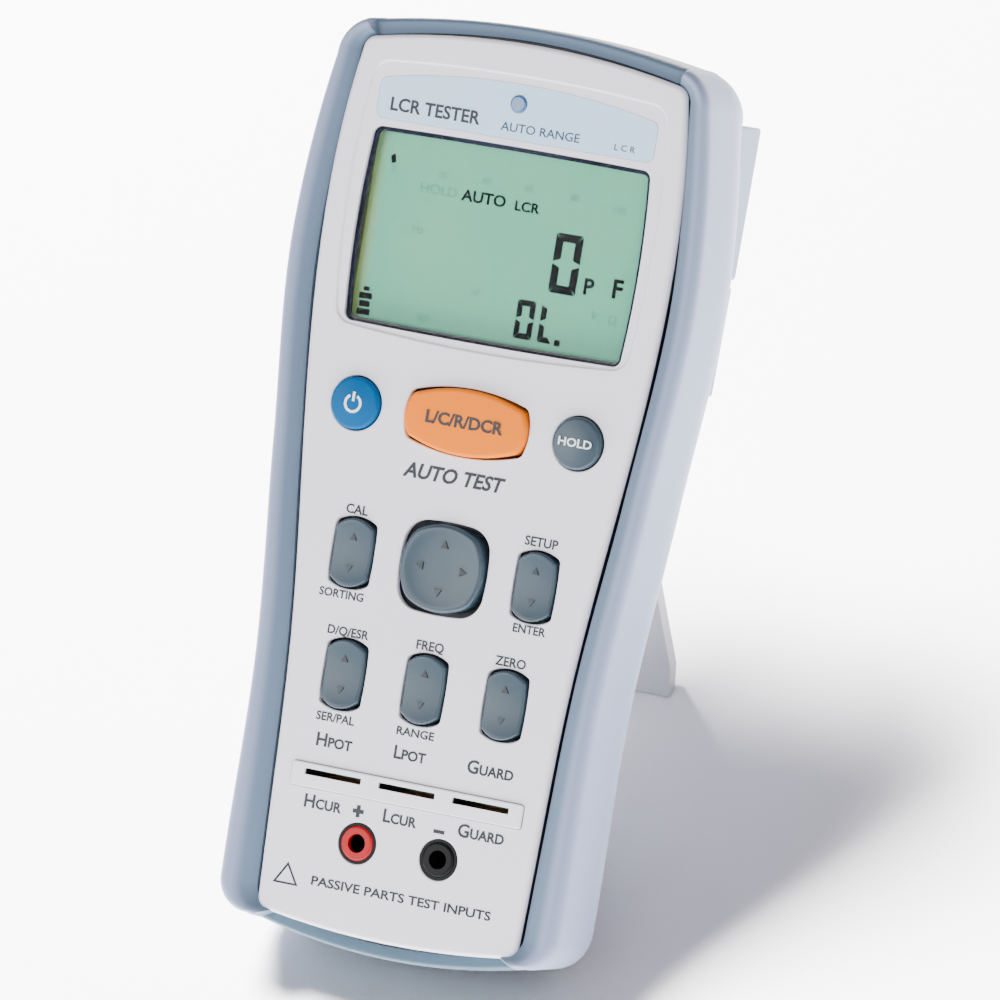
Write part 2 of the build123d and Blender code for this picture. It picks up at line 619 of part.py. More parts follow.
def battery():
    width, length, depth = BATTERY
    cell = Pos(0, BATTERY_Y, BATTERY_Z) * Box(width - 0.1, length, depth - 0.1)
    return fillet(cell.edges().filter_by(Axis.Y), 2.0)


def battery_contacts():
    """Snap plate at the top of the compartment, with a socket and a stud."""
    top = BATTERY_Y + BATTERY[1] / 2
    plate = Pos(0, top + 3.1, BATTERY_Z + 2) * Box(24, 1.4, 11)
    for x in (-6.4, 6.4):
        plate += Pos(x, top + 1.4, BATTERY_Z + 2) * Rot(90, 0, 0) * Cylinder(3.0, 2.4)
    return plate


# ---------------------------------------------------------------- assembly
def build_all():
    nodes = {
        "front_cover": front_cover(),
        "rear_case": rear_case(),
        "holster": holster(),
        "tilt_stand": tilt_stand(),
        "stand_hinge_pin": stand_hinge_pin(),
        "battery_door": battery_door(),
        "battery_door_screws": battery_door_screws(),
        "case_screws": case_screws(),
        "board_screws": board_screws(),
        "display_window": display_window(),
        "display_mask": display_mask(),
        "display_glass": display_glass(),
        "display_backlight": display_backlight(),
        "display_frame": display_frame(),
        "zebra_strip": zebra_strips(),
        "header_plate": header_plate(),
        "status_lens": status_lens(),
        "status_led": status_led(),
        "power_button": round_key(-ROUND_KEY_X),
        "hold_button": round_key(ROUND_KEY_X),
        "auto_test_button": auto_test_button(),
        "navigation_pad": navigation_pad(),
        "navigation_pivot": navigation_pivot(),
        "dome_sheet": dome_sheet(),
        "slot_block": slot_block(),
        "high_slot_contacts": slot_contacts(-1),
        "low_slot_contacts": slot_contacts(0),
        "guard_slot_contacts": slot_contacts(1),
        "positive_jack_collar": jack_collar(-JACK_X),
        "negative_jack_collar": jack_collar(JACK_X),
        "jack_wells": jack_wells(),
        "positive_jack_sleeve": jack_sleeve(-JACK_X),
        "negative_jack_sleeve": jack_sleeve(JACK_X),
        "main_board": main_board(),
        "measuring_chip": measuring_chip(),
        "support_chips": support_chips(),
        "crystal_can": crystal_can(),
        "range_relays": range_relays(),
        "smoothing_capacitors": smoothing_capacitors(),
        "buzzer": buzzer(),
        "input_fuse": input_fuse(),
        "fuse_clips": fuse_clips(),
        "battery": battery(),
        "battery_contacts": battery_contacts(),
    }
    for name, centre in ROCKERS.items():
        nodes[name] = rocker(*centre)
    return nodes


def stand_up(nodes):
    """Leans every piece back onto the bench plane and centres the whole on the Y axis."""
    leaned = {}
    for name, shape in nodes.items():
        pieces = shape if isinstance(shape, list) else [shape]
        group = Compound(children=[Rot(LEAN, 0, 0) * piece for piece in pieces])
        leaned[name] = group
    boxes = [leaned[name].bounding_box() for name in ("holster", "tilt_stand")]
    low = min(box.min.Y for box in boxes)
    high = max(box.max.Y for box in boxes)
    shift = -(low + high) / 2
    return {name: Pos(0, shift, FLOOR) * group for name, group in leaned.items()}, shift


placed, shift = stand_up(build_all())
os.makedirs("parts", exist_ok=True)
for name, group in placed.items():
    solids = group.solids()
    export_step(solids[0] if len(solids) == 1 else Compound(children=solids), f"parts/{name}.step")
whole = Compound(children=[solid for group in placed.values() for solid in group.solids()])
print("shift along Y", round(shift, 4), "overall", whole.bounding_box())
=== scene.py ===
import json
from math import atan2, cos, pi, radians, sin, tau

import bmesh
import bpy
import numpy as np
from mathutils import Matrix, Vector


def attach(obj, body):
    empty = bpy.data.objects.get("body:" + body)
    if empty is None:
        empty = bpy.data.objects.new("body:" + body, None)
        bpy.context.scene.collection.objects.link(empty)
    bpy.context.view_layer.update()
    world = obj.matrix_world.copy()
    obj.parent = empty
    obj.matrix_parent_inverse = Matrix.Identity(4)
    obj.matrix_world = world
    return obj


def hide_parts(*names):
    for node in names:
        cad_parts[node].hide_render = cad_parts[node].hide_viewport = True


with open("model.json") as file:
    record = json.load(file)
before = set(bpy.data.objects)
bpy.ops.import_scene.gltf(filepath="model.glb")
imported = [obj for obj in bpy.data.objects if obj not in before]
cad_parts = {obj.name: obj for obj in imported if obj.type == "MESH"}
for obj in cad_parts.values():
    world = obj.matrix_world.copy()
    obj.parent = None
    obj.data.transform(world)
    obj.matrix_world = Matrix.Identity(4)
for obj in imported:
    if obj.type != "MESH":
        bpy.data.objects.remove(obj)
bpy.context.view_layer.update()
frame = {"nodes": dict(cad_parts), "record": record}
nodes = frame["nodes"]

# ------------------------------------------------------------------ how the meter stands
# The meter leans back on its stand. Its own frame has x to the right of the face, y towards the display
# end and z out of the face, in millimetres; the positive jack's mount ties that frame to the bench's.
LEAN = radians(45.0)
TURN = np.array([[1, 0, 0], [0, cos(LEAN), -sin(LEAN)], [0, sin(LEAN), cos(LEAN)]])
JACK_IN_METER = np.array([-9.525, -75.8, -9.35])
jack = next(mount for mount in frame["record"]["mounts"] if mount["name"] == "positive_jack")
SHIFT = np.array(jack["pos_m"]) - TURN @ JACK_IN_METER / 1000


def stand_up(points):
    """The meter's millimetres to the bench's metres: turned about X by the lean, then carried along."""
    return np.asarray(points, float) @ TURN.T / 1000 + SHIFT


# ------------------------------------------------------------------ boot
# One soft injection-moulded elastomer skin that stretches over the case: tall rounded wings along the sides,
# low strips across the ends, a lip that grips the front and a large window in the back. Heights are over the
# face, and each side line is a list of half widths and places along the meter.
BOOT_SIDE = [(39.6, -106.0), (40.0, -85.0), (40.2, -40.0), (44.0, 5.0)]
BOOT_SIDE += [(47.2, 50.0), (43.9, 84.0), (39.0, 106.0)]
FACE_SIDE = [(30.4, -93.0), (31.2, -70.0), (32.8, -34.0), (37.0, 5.0), (40.4, 47.0), (37.2, 91.6)]
BOOT_END = 99.0
END_ZONE = 85.0
TOP_WING_STEP = (35.9, 37.3)
FOOT_WING_STEP = (30.2, 31.8)
RIDGE = 1.3
STRIP = -1.4
LIP_UNDER = -3.9
ROUND_FROM = -12.0
INSIDE_BACK = -30.65
BOOT_BACK = -32.5
TUCK = 0.04
RIDGE_ROWS, SLOPE_ROWS, INSIDE_ROWS = 9, 11, 10


def through(stations, y):
    """Half width at y on a smooth cubic through a few stations: Hermite, with slopes from the neighbours."""
    x, at = np.array(stations).T
    slope = np.gradient(x, at)
    k = np.clip(np.searchsorted(at, y) - 1, 0, len(at) - 2)
    span = at[k + 1] - at[k]
    t = (y - at[k]) / span
    start = (2 * t**3 - 3 * t**2 + 1) * x[k] + (t**3 - 2 * t**2 + t) * span * slope[k]
    return start + (3 * t**2 - 2 * t**3) * x[k + 1] + (t**3 - t**2) * span * slope[k + 1]


def ring(half_width, top, bottom, sag_top, sag_bottom, corner_top, corner_bottom):
    """Closed outline round the face: arched ends, quarter-circle corners and waisted sides, the right half
    mirrored. A stretch has the same count of points in every outline, so two join point by point."""
    quarter = np.linspace(0, pi / 2, 41)[1:-1]
    low_y = bottom + sag_bottom + corner_bottom
    top_y = top - sag_top - corner_top
    low_x = half_width(low_y) - corner_bottom
    top_x = half_width(top_y) - corner_top
    x = np.linspace(0, low_x, 25)
    foot = np.stack([x, bottom + sag_bottom * (x / low_x) ** 2], 1)
    turn = np.stack([low_x + corner_bottom * np.sin(quarter), low_y - corner_bottom * np.cos(quarter)], 1)
    y = np.linspace(low_y, top_y, 121)
    side = np.stack([half_width(y), y], 1)
    turn_top = np.stack([top_x + corner_top * np.cos(quarter), top_y + corner_top * np.sin(quarter)], 1)
    x = np.linspace(top_x, 0, 25)
    head = np.stack([x, top - sag_top * (x / top_x) ** 2], 1)
    right = np.concatenate([foot, turn, side, turn_top, head])
    left = right[-2:0:-1] * (-1, 1)
    return np.concatenate([right, left])


def boot_ring(inset, corner_top, corner_bottom):
    """The boot's outline moved in by inset, and by a hair more to stay inside the plain boot."""
    inset += TUCK
    end = BOOT_END - inset
    return ring(lambda y: through(BOOT_SIDE, y) - inset, end, -end, 3, 4.2, corner_top, corner_bottom)


def quads(rows, columns, close_rows=False, close_columns=False):
    """Four-sided faces over a grid of points numbered row by row; either way can close on itself."""
    row = np.arange(rows if close_rows else rows - 1)
    column = np.arange(columns if close_columns else columns - 1)
    i, j = np.meshgrid(row, column, indexing="ij")
    ahead, beside = (i + 1) % rows, (j + 1) % columns
    corners = [i * columns + j, i * columns + beside, ahead * columns + beside, ahead * columns + j]
    return np.stack(corners, -1).reshape(-1, 4)


def smooth_step(low, high, value):
    """0 below low, 1 above high and an S-shaped ramp between."""
    t = np.clip((value - low) / (high - low), 0, 1)
    return t * t * (3 - 2 * t)


def linear(code):
    """sRGB hex to linear red, green, blue and alpha."""
    channels = np.array([int(code[i : i + 2], 16) for i in (1, 3, 5)]) / 255
    low, high = channels / 12.92, ((channels + 0.055) / 1.055) ** 2.4
    return (*np.where(channels <= 0.04045, low, high).tolist(), 1.0)


def add(tree, kind, settings=None, **links):
    """Adds one node: settings are its properties or the values of its inputs, links go to its inputs."""
    node = tree.nodes.new(kind)
    for name, value in (settings or {}).items():
        if hasattr(node, name):
            setattr(node, name, value)
        else:
            node.inputs[int(name[1:]) if name[0] == "#" else name].default_value = value
    for name, source in links.items():
        key = int(name[1:]) if name[0] == "n" and name[1:].isdigit() else name.replace("_", " ")
        tree.links.new(source, node.inputs[key])
    return node


def finish_material(name, shader):
    """New material whose one shader has these fixed values; returns it with its tree and shader."""
    material = bpy.data.materials.new(name)
    material.use_nodes = True
    tree = material.node_tree
    principled = tree.nodes["Principled BSDF"]
    for socket, value in shader.items():
        principled.inputs[socket].default_value = value
    return material, tree, principled


def moulded(name, colour, deep_colour, roughness, grain_mm, bump, shader=None):
    """Moulded plastic or elastomer: a faint cloud of colour, a fine skin of grain_mm and uneven gloss."""
    material, tree, principled = finish_material(name, shader or {})
    place = add(tree, "ShaderNodeTexCoord").outputs["Object"]
    cloud = add(tree, "ShaderNodeTexNoise", {"Scale": 28.0, "Detail": 3.0}, Vector=place)
    ramp = add(tree, "ShaderNodeValToRGB", None, Fac=cloud.outputs["Fac"])
    ramp.color_ramp.elements[0].position, ramp.color_ramp.elements[1].position = 0.3, 0.75
    ramp.color_ramp.elements[0].color, ramp.color_ramp.elements[1].color = linear(deep_colour), linear(colour)
    tree.links.new(ramp.outputs["Color"], principled.inputs["Base Color"])
    skin = add(tree, "ShaderNodeTexNoise", {"Scale": 1000 / grain_mm, "Detail": 2.0}, Vector=place)
    limits = {"To Min": roughness - 0.05, "To Max": roughness + 0.07}
    gloss = add(tree, "ShaderNodeMapRange", limits, Value=cloud.outputs["Fac"])
    tree.links.new(gloss.outputs["Result"], principled.inputs["Roughness"])
    relief = add(tree, "ShaderNodeBump", {"Strength": bump, "Distance": 0.0001}, Height=skin.outputs["Fac"])
    tree.links.new(relief.outputs["Normal"], principled.inputs["Normal"])
    return material, tree, principled


def polished(name, shader, streaks, smoothest, roughest):
    """Metal, glass or clear plastic of one colour: fine streaks in the gloss, as handling leaves."""
    material, tree, principled = finish_material(name, shader)
    place = add(tree, "ShaderNodeTexCoord").outputs["Object"]
    streak = add(tree, "ShaderNodeTexNoise", {"Scale": streaks, "Detail": 4.0}, Vector=place)
    limits = {"To Min": smoothest, "To Max": roughest}
    gloss = add(tree, "ShaderNodeMapRange", limits, Value=streak.outputs["Fac"])
    tree.links.new(gloss.outputs["Result"], principled.inputs["Roughness"])
    return material


def piece(name, points, faces, material, body, replaced=(), sharp=40.0):
    """One mesh on the bench from points in the meter's frame, smooth but for edges over the sharp angle."""
    mesh = bpy.data.meshes.new(name)
    faces = faces.tolist() if hasattr(faces, "tolist") else faces
    mesh.from_pydata(stand_up(points).tolist(), [], faces)
    work = bmesh.new()
    work.from_mesh(mesh)
    bmesh.ops.recalc_face_normals(work, faces=work.faces)
    work.to_mesh(mesh)
    work.free()
    mesh.polygons.foreach_set("use_smooth", [True] * len(mesh.polygons))
    mesh.set_sharp_from_angle(angle=radians(sharp))
    made = bpy.data.objects.new(name, mesh)
    bpy.context.scene.collection.objects.link(made)
    mesh.materials.append(material)
    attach(made, body)
    if replaced:
        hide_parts(*replaced)
    return made


def boot_surface():
    """The boot's wall carried round the outline. Its section runs over the wing's ridge, down the lip, inside
    the wall to the back window and out again round the back: a ring that closes both ways."""
    outer = boot_ring(0, 9.0, 7.0)
    lip = ring(lambda y: through(FACE_SIDE, y) + 0.8, 96.0, -96.0, 3.6, 3.5, 4.2, 4.2)
    inner = boot_ring(3.05, 7.0, 5.5)
    flat = boot_ring(20.0, 4.0, 4.0)
    inner_flat = boot_ring(19.0, 4.0, 4.0)
    window = ring(lambda y: 25.5 + 0 * y, 83.0, -63.0, 0.01, 0.01, 4.0, 4.0)
    across, along = np.abs(outer[:, 0]), outer[:, 1]
    wing = np.where(along > END_ZONE, smooth_step(*TOP_WING_STEP, across), 1.0)
    wing = np.where(along < -END_ZONE, smooth_step(*FOOT_WING_STEP, across), wing)
    crest = STRIP + (RIDGE - STRIP) * wing
    drop = 0.5 + 1.9 * wing
    rows = []
    for angle in np.linspace(0, pi / 2, RIDGE_ROWS):
        share = 0.30 * (1 - cos(angle))
        rows.append((outer + (lip - outer) * share, crest - 2.4 * (1 - sin(angle))))
    for t in np.linspace(0, 1, SLOPE_ROWS + 1)[1:]:
        share = 0.30 + 0.70 * t
        rows.append((outer + (lip - outer) * share, crest - drop * t**1.7))
    level = np.ones(len(outer))
    rows += [(lip, crest - drop - 0.4), (lip, LIP_UNDER * level)]
    rows += [(inner, (LIP_UNDER - 0.05) * level), (inner, ROUND_FROM * level)]
    for angle in np.linspace(0.2, pi / 2, 5):
        height = ROUND_FROM + (INSIDE_BACK - ROUND_FROM) * sin(angle)
        rows.append((inner_flat + (inner - inner_flat) * cos(angle), height * level))
    rows += [(window, INSIDE_BACK * level), (window, (BOOT_BACK + 0.4) * level)]
    rows.append((window + (flat - window) * 0.03, BOOT_BACK * level))
    round_depth = 18.0 + 2.0 * wing
    fuller = 0.25 * smooth_step(82, 90, along) * smooth_step(24, 31, across)
    for angle in np.linspace(pi / 2, 0, 22):
        reach = (cos(angle) ** (1 - fuller))[:, None]
        rows.append((flat + (outer - flat) * reach, BOOT_BACK + round_depth * (1 - sin(angle))))
    for height in (-9.0, -6.0, -3.5):
        rows.append((outer, height * level))
    points = np.stack([np.column_stack([outline, height]) for outline, height in rows])
    depth, count = points.shape[:2]
    return points, quads(depth, count, True, True)


def boot_material():
    """Soft-touch thermoplastic elastomer: matt, with a soft sheen. The wings' inner slopes and the end strips
    are a deeper blue-grey than the sides, partly a darker tone of the moulding and partly painted shade on
    these front-facing faces against the brighter sides, so the colour follows a mask stored in the mesh."""
    shader = {"Sheen Weight": 0.25, "Sheen Roughness": 0.4, "Specular IOR Level": 0.35}
    material, tree, principled = moulded("boot_elastomer", "#8591ad", "#808ca9", 0.55, 0.5, 0.25, shader)
    side = principled.inputs["Base Color"].links[0].from_socket
    mask = add(tree, "ShaderNodeAttribute", {"attribute_name": "inner_slope"})
    # The deeper blue-grey is partly the moulding's own tone and partly painted shade.
    deeper = {"data_type": "RGBA", "clamp_factor": False, "#7": linear("#5b6f85")}
    blend = add(tree, "ShaderNodeMix", deeper, n0=mask.outputs["Fac"], n6=side)
    tree.links.new(blend.outputs[2], principled.inputs["Base Color"])
    return material


boot_points, boot_faces = boot_surface()
boot_rows, boot_count = boot_points.shape[:2]
elastomer = boot_material()
shell = boot_points.reshape(-1, 3)
boot = piece("boot", shell, boot_faces, elastomer, "meter", ["holster"], 30.0)
standing = np.array([vertex.co for vertex in boot.data.vertices])
standing[:, 2] = np.maximum(standing[:, 2], 0)
boot.data.vertices.foreach_set("co", standing.astype(np.float32).ravel())
lip_row = RIDGE_ROWS + SLOPE_ROWS
# Mask over the inner slopes and end strips, the foot strip past full strength: moulding tone and painted
# shade together.
slope_mask = np.zeros((boot_rows, boot_count))
slope_mask[:lip_row] = smooth_step(9, 14, np.arange(lip_row))[:, None]
slope_mask[lip_row : lip_row + INSIDE_ROWS] = 1.0
edge_x, edge_y = np.abs(boot_points[0, :, 0]), boot_points[0, :, 1]
strip_mask = np.where(edge_y > END_ZONE, 1 - smooth_step(36.2, 37.0, edge_x), 0)
strip_mask = np.where(edge_y < -END_ZONE, 1.35 * (1 - smooth_step(30.6, 31.4, edge_x)), strip_mask)
slope_mask = np.maximum(slope_mask, strip_mask)
mask = boot.data.attributes.new("inner_slope", "FLOAT", "POINT")
mask.data.foreach_set("value", slope_mask.ravel().astype(np.float32))

# ------------------------------------------------------------------ rests on the boot's back
# Two raised pads each side of the boot's back, with a shallow channel in which a probe can lie. Part of the
# same moulding; the upper pad is the deeper one. Each is one section, an arc between two square edges,
# carried from its low end to its high end.
REST_IN, REST_OUT, REST_DEPTH = 27.3, 38.2, 13.0
CHANNEL_RADIUS, CHANNEL_RISE = 4.2, 1.3
RESTS = [("upper", 53.0, 85.5, -39.6, -40.6), ("lower", 28.0, 51.6, -37.4, -38.6)]
arc = np.linspace(-1.25, 1.25, 13)
middle = (REST_IN + REST_OUT) / 2
channel = np.stack([middle + CHANNEL_RADIUS * np.sin(arc), CHANNEL_RADIUS * np.cos(arc) - CHANNEL_RISE], 1)
inner_edge, outer_edge = [(REST_IN, REST_DEPTH), (REST_IN, 0.0)], [(REST_OUT, 0.0), (REST_OUT, REST_DEPTH)]
section = np.concatenate([inner_edge, channel, outer_edge])
count = len(section)
for name, low_y, high_y, low_z, high_z in RESTS:
    for side in (-1, 1):
        ends = []
        for y, z in ((low_y, low_z), (high_y, high_z)):
            ends.append(np.stack([side * section[:, 0], np.full(len(section), y), z + section[:, 1]], 1))
        end_faces = [list(range(count)), list(range(2 * count - 1, count - 1, -1))]
        faces = quads(2, count, False, True).tolist() + end_faces
        tag = "left" if side < 0 else "right"
        points = np.concatenate(ends)
        rest = piece(f"boot_rest_{name}_{tag}", points, faces, elastomer, "meter")
        soft = rest.modifiers.new("edges", "BEVEL")
        soft.width, soft.segments, soft.limit_method, soft.angle_limit = 0.0014, 4, "ANGLE", radians(50)

# ------------------------------------------------------------------ front cover
# White ABS moulding with a fine satin texture: it carries the face, all the key openings and a shallow sunk
# panel round the display. The shoulder below the face is painted dark: painted shade for the deep gap seen
# beside the wings.
OUT_OF_FACE = (0.0, -sin(LEAN), cos(LEAN))


def paint_shade_below(tree, principled, shade_colour, low_mm, high_mm):
    """Paints shade onto a pale moulding below a height over the face, where a deep gap or slot lies in
    shadow:
    the height is the dot product of the place with the direction out of the face, and the ramp runs from
    low_mm to high_mm."""
    pale = principled.inputs["Base Color"].links[0].from_socket
    place = add(tree, "ShaderNodeTexCoord").outputs["Object"]
    height = add(tree, "ShaderNodeVectorMath", {"operation": "DOT_PRODUCT", "#1": OUT_OF_FACE}, n0=place)
    face_height = float(np.dot(OUT_OF_FACE, SHIFT))
    limits = {"From Min": face_height + low_mm / 1000, "From Max": face_height + high_mm / 1000}
    above = add(tree, "ShaderNodeMapRange", limits, Value=height.outputs["Value"])
    dark = {"data_type": "RGBA", "#6": linear(shade_colour)}
    shade = add(tree, "ShaderNodeMix", dark, n0=above.outputs["Result"], n7=pale)
    tree.links.new(shade.outputs[2], principled.inputs["Base Color"])


def refinish(node, material):
    """A CAD node keeps its shape and takes this material."""
    slots = nodes[node].data.materials
    slots.clear()
    slots.append(material)


cover_material, tree, principled = moulded("satin_white_abs", "#e6e5ee", "#e2e1ea", 0.42, 0.35, 0.12)
# Near black below the shoulder: painted shade for the gap between the face and the wings.
paint_shade_below(tree, principled, "#11151b", -1.6, -1.1)
refinish("front_cover", cover_material)

# ------------------------------------------------------------------ rear case, battery door and stand
# Light grey ABS tub and door with a coarser texture than the face, and a paler, smoother ABS stand, white in
# itself, whose colour is painted down to grey: painted shade for the shadow it stands in.
rear_material = moulded("textured_grey_abs", "#b4b7be", "#aeb1b8", 0.55, 0.6, 0.3)[0]
# The stand's grey is painted shade on white plastic.
shaded_stand_material = moulded("satin_stand_abs_painted_shade", "#a9a8b0", "#a3a2aa", 0.4, 0.4, 0.12)[0]
for node in ("rear_case", "battery_door"):
    refinish(node, rear_material)
refinish("tilt_stand", shaded_stand_material)

# ------------------------------------------------------------------ screws and hinge pin
# Zinc-plated steel, turned and rolled, with a faint drawn grain that shows as streaks in the highlight.
steel = polished("zinc_plated_steel", {"Metallic": 1.0, "Base Color": linear("#b9babd")}, 900.0, 0.22, 0.42)
for node in ("stand_hinge_pin", "battery_door_screws", "case_screws", "board_screws", "crystal_can"):
    refinish(node, steel)

# ------------------------------------------------------------------ display
# Reflective liquid crystal cell behind a clear acrylic window: a dark printed border on the window, which
# also stands in as painted shade for the shadow the recess's edge casts, a dark tray and a grey-green
# polariser with near-black segments. The cell is yellower along its left edge.
clear = {"Base Color": linear("#2e3a3c"), "Alpha": 0.04, "IOR": 1.49, "Specular IOR Level": 0.35}
window = polished("clear_acrylic", clear, 60.0, 0.03, 0.06)
refinish("display_window", window)
dull = {"Specular IOR Level": 0.2}
# The border is print in part and painted shade in part, for the recess's cast shadow.
border_ink_and_shade = moulded("printed_border_and_shade", "#0b1430", "#08102a", 0.5, 0.3, 0.05, dull)[0]
refinish("display_mask", border_ink_and_shade)
tray_material = moulded("dark_moulded_tray", "#3a3a1c", "#2f3018", 0.5, 0.4, 0.1)[0]
for node in ("display_frame", "buzzer", "battery_contacts", "navigation_pivot"):
    refinish(node, tray_material)

sheen = {"Roughness": 0.35, "Specular IOR Level": 0.3}
cell, tree, principled = finish_material("reflective_crystal_cell", sheen)
place = add(tree, "ShaderNodeTexCoord").outputs["Object"]
centre = stand_up([0.0, 52.6, -3.35])
spread = add(tree, "ShaderNodeMapping", {"Location": (-centre).tolist()}, Vector=place)
across = add(tree, "ShaderNodeSeparateXYZ", None, Vector=spread.outputs["Vector"])
tint = add(tree, "ShaderNodeMapRange", {"From Min": -0.0325, "From Max": -0.029}, Value=across.outputs["X"])
edge_glow = {"data_type": "RGBA", "#6": linear("#93a24c"), "#7": linear("#4fae8c")}
glow = add(tree, "ShaderNodeMix", edge_glow, n0=tint.outputs["Result"])
haze = add(tree, "ShaderNodeTexNoise", {"Scale": 35.0, "Detail": 2.0}, Vector=place)
veil = add(tree, "ShaderNodeMix", {"data_type": "RGBA", "#7": linear("#66b58d")}, n6=glow.outputs[2])
limits = {"From Min": 0.4, "From Max": 0.75, "To Max": 0.6}
fade = add(tree, "ShaderNodeMapRange", limits, Value=haze.outputs["Fac"])
tree.links.new(fade.outputs["Result"], veil.inputs[0])
tree.links.new(veil.outputs[2], principled.inputs["Base Color"])
refinish("display_glass", cell)
guide = moulded("diffusing_acrylic", "#e6ecdf", "#dfe6d8", 0.4, 0.5, 0.05)[0]
for node in ("display_backlight", "status_led"):
    refinish(node, guide)
silicone = moulded("conductive_silicone", "#8e9297", "#84888e", 0.6, 0.4, 0.1)[0]
for node in ("zebra_strip", "dome_sheet"):
    refinish(node, silicone)


# ------------------------------------------------------------------ segments and print
# Segments are thin plates on the crystal cell, and legends are screen print a few hundredths of a millimetre
# thick. Both are flat and dull, so they read as ink.
def segment_digit(x, y, width, height, thick, lit):
    """Outlines of the lit bars of a figure whose bars are trapeziums: a and d lie across its head and foot,
    f, b, e and c stand at its sides."""
    gap, lean_in, half = 0.12 * thick, 0.9 * thick, height / 2
    shapes = []
    for name, level, drop in (("a", height, thick), ("d", 0, -thick)):
        if name in lit:
            inside = level - drop
            shapes.append([(gap, level), (width - gap, level), (width - lean_in, inside), (lean_in, inside)])
    uprights = [("f", 0, half, height), ("b", 1, half, height), ("e", 0, 0, half), ("c", 1, 0, half)]
    for name, side, low, high in uprights:
        if name in lit:
            outer, inner = (width, width - thick) if side else (0, thick)
            top_in = high - thick * (1 if high == height else 0.55)
            low_in = low + thick * (1 if low == 0 else 0.55)
            shapes.append([(outer, low + gap), (inner, low_in), (inner, top_in), (outer, high - gap)])
    return [[(x + px, y + py) for px, py in shape] for shape in shapes]


def plates(name, shapes, low, high, material, body):
    """Flat plates between two heights, one for each outline, as one piece."""
    points, faces = [], []
    for shape in shapes:
        start, count = len(points), len(shape)
        points += [(px, py, low) for px, py in shape] + [(px, py, high) for px, py in shape]
        faces.append([start + count + i for i in range(count)])
        faces.append([start + i for i in reversed(range(count))])
        for i in range(count):
            beside = start + (i + 1) % count
            faces.append([start + i, beside, beside + count, start + count + i])
    return piece(name, np.array(points), faces, material, body, sharp=20.0)


def words(name, entries, height_z, material, body, thickness=0.03, bold=0.0, slant=0.0):
    """Lettering laid on the face: each entry is text, middle x, middle y, capital height and stretch across.
    Lower case letters are small capitals, bold thickens every stroke and slant leans the letters over."""
    parts = []
    for text, x, y, size, stretch in entries:
        curve = bpy.data.curves.new(name, "FONT")
        curve.body, curve.align_x, curve.align_y = text, "CENTER", "CENTER"
        curve.size, curve.resolution_u, curve.offset, curve.shear = size / 0.69, 3, bold * size, slant
        for letter, style in zip(text, curve.body_format):
            style.use_small_caps = letter.islower() and bold > 0
        holder = bpy.data.objects.new(name, curve)
        bpy.context.scene.collection.objects.link(holder)
        flat = bpy.data.meshes.new_from_object(holder.evaluated_get(bpy.context.evaluated_depsgraph_get()))
        bpy.data.objects.remove(holder)
        at = np.array([vertex.co for vertex in flat.vertices])
        at = at * (stretch, 1, 0) + (x, y, height_z + thickness)
        parts.append((at, [list(polygon.vertices) for polygon in flat.polygons]))
    points, faces, start = [], [], 0
    for at, polygons in parts:
        points.append(at)
        faces += [[start + i for i in polygon] for polygon in polygons]
        start += len(at)
    made = piece(name, np.concatenate(points), faces, material, body)
    work = bmesh.new()
    work.from_mesh(made.data)
    bmesh.ops.remove_doubles(work, verts=work.verts, dist=1e-7)
    out = Vector(OUT_OF_FACE)
    wrong = [face for face in work.faces if face.normal.dot(out) < 0]
    bmesh.ops.reverse_faces(work, faces=wrong)
    walls = bmesh.ops.extrude_face_region(work, geom=list(work.faces))
    moved = [item for item in walls["geom"] if isinstance(item, bmesh.types.BMVert)]
    bmesh.ops.translate(work, verts=moved, vec=out * thickness / 1000)
    bmesh.ops.recalc_face_normals(work, faces=work.faces)
    work.to_mesh(made.data)
    work.free()
    made.data.polygons.foreach_set("use_smooth", [False] * len(made.data.polygons))
    return made


CELL_FACE = -3.35
segment_ink = moulded("crystal_segment", "#09060d", "#07040a", 0.6, 0.3, 0.02, {"Specular IOR Level": 0.1})[0]
faint_ink = moulded("unlit_segment", "#3f8c76", "#3c8973", 0.5, 0.3, 0.02)[0]
figures = segment_digit(12.0, 45.1, 6.3, 12.6, 1.75, "abcdef")
figures += segment_digit(5.7, 34.4, 4.2, 8.2, 1.25, "abcdef")
figures += segment_digit(11.3, 34.4, 3.4, 8.2, 1.25, "ed")
figures += [[(11.3, 38.8), (12.6, 39.4), (12.6, 41.6), (11.3, 42.2)]]
figures += [[(15.3, 34.2), (16.6, 34.2), (16.6, 35.5), (15.3, 35.5)]]
BATTERY_SIGN_X = -29.3
for low, high, half in ((33.6, 34.9, 1.5), (35.3, 36.6, 1.2), (37.0, 38.3, 1.5), (38.7, 39.6, 0.7)):
    left, right = BATTERY_SIGN_X - half, BATTERY_SIGN_X + half
    figures.append([(left, low), (right, low), (right, high), (left, high)])
figures += [[(-28.2, 66.0), (-27.2, 66.4), (-27.6, 68.2), (-28.6, 67.6)]]
plates("display_figures", figures, CELL_FACE + 0.01, CELL_FACE + 0.04, segment_ink, "meter")
units = [("P", 21.0, 47.4, 3.3, 1.0), ("F", 27.6, 47.9, 3.8, 1.0)]
units += [("AUTO", -5.8, 61.9, 2.3, 1.1), ("LCR", 4.2, 61.6, 2.0, 1.1)]
words("display_units", units, CELL_FACE, segment_ink, "meter", 0.02, 0.04)
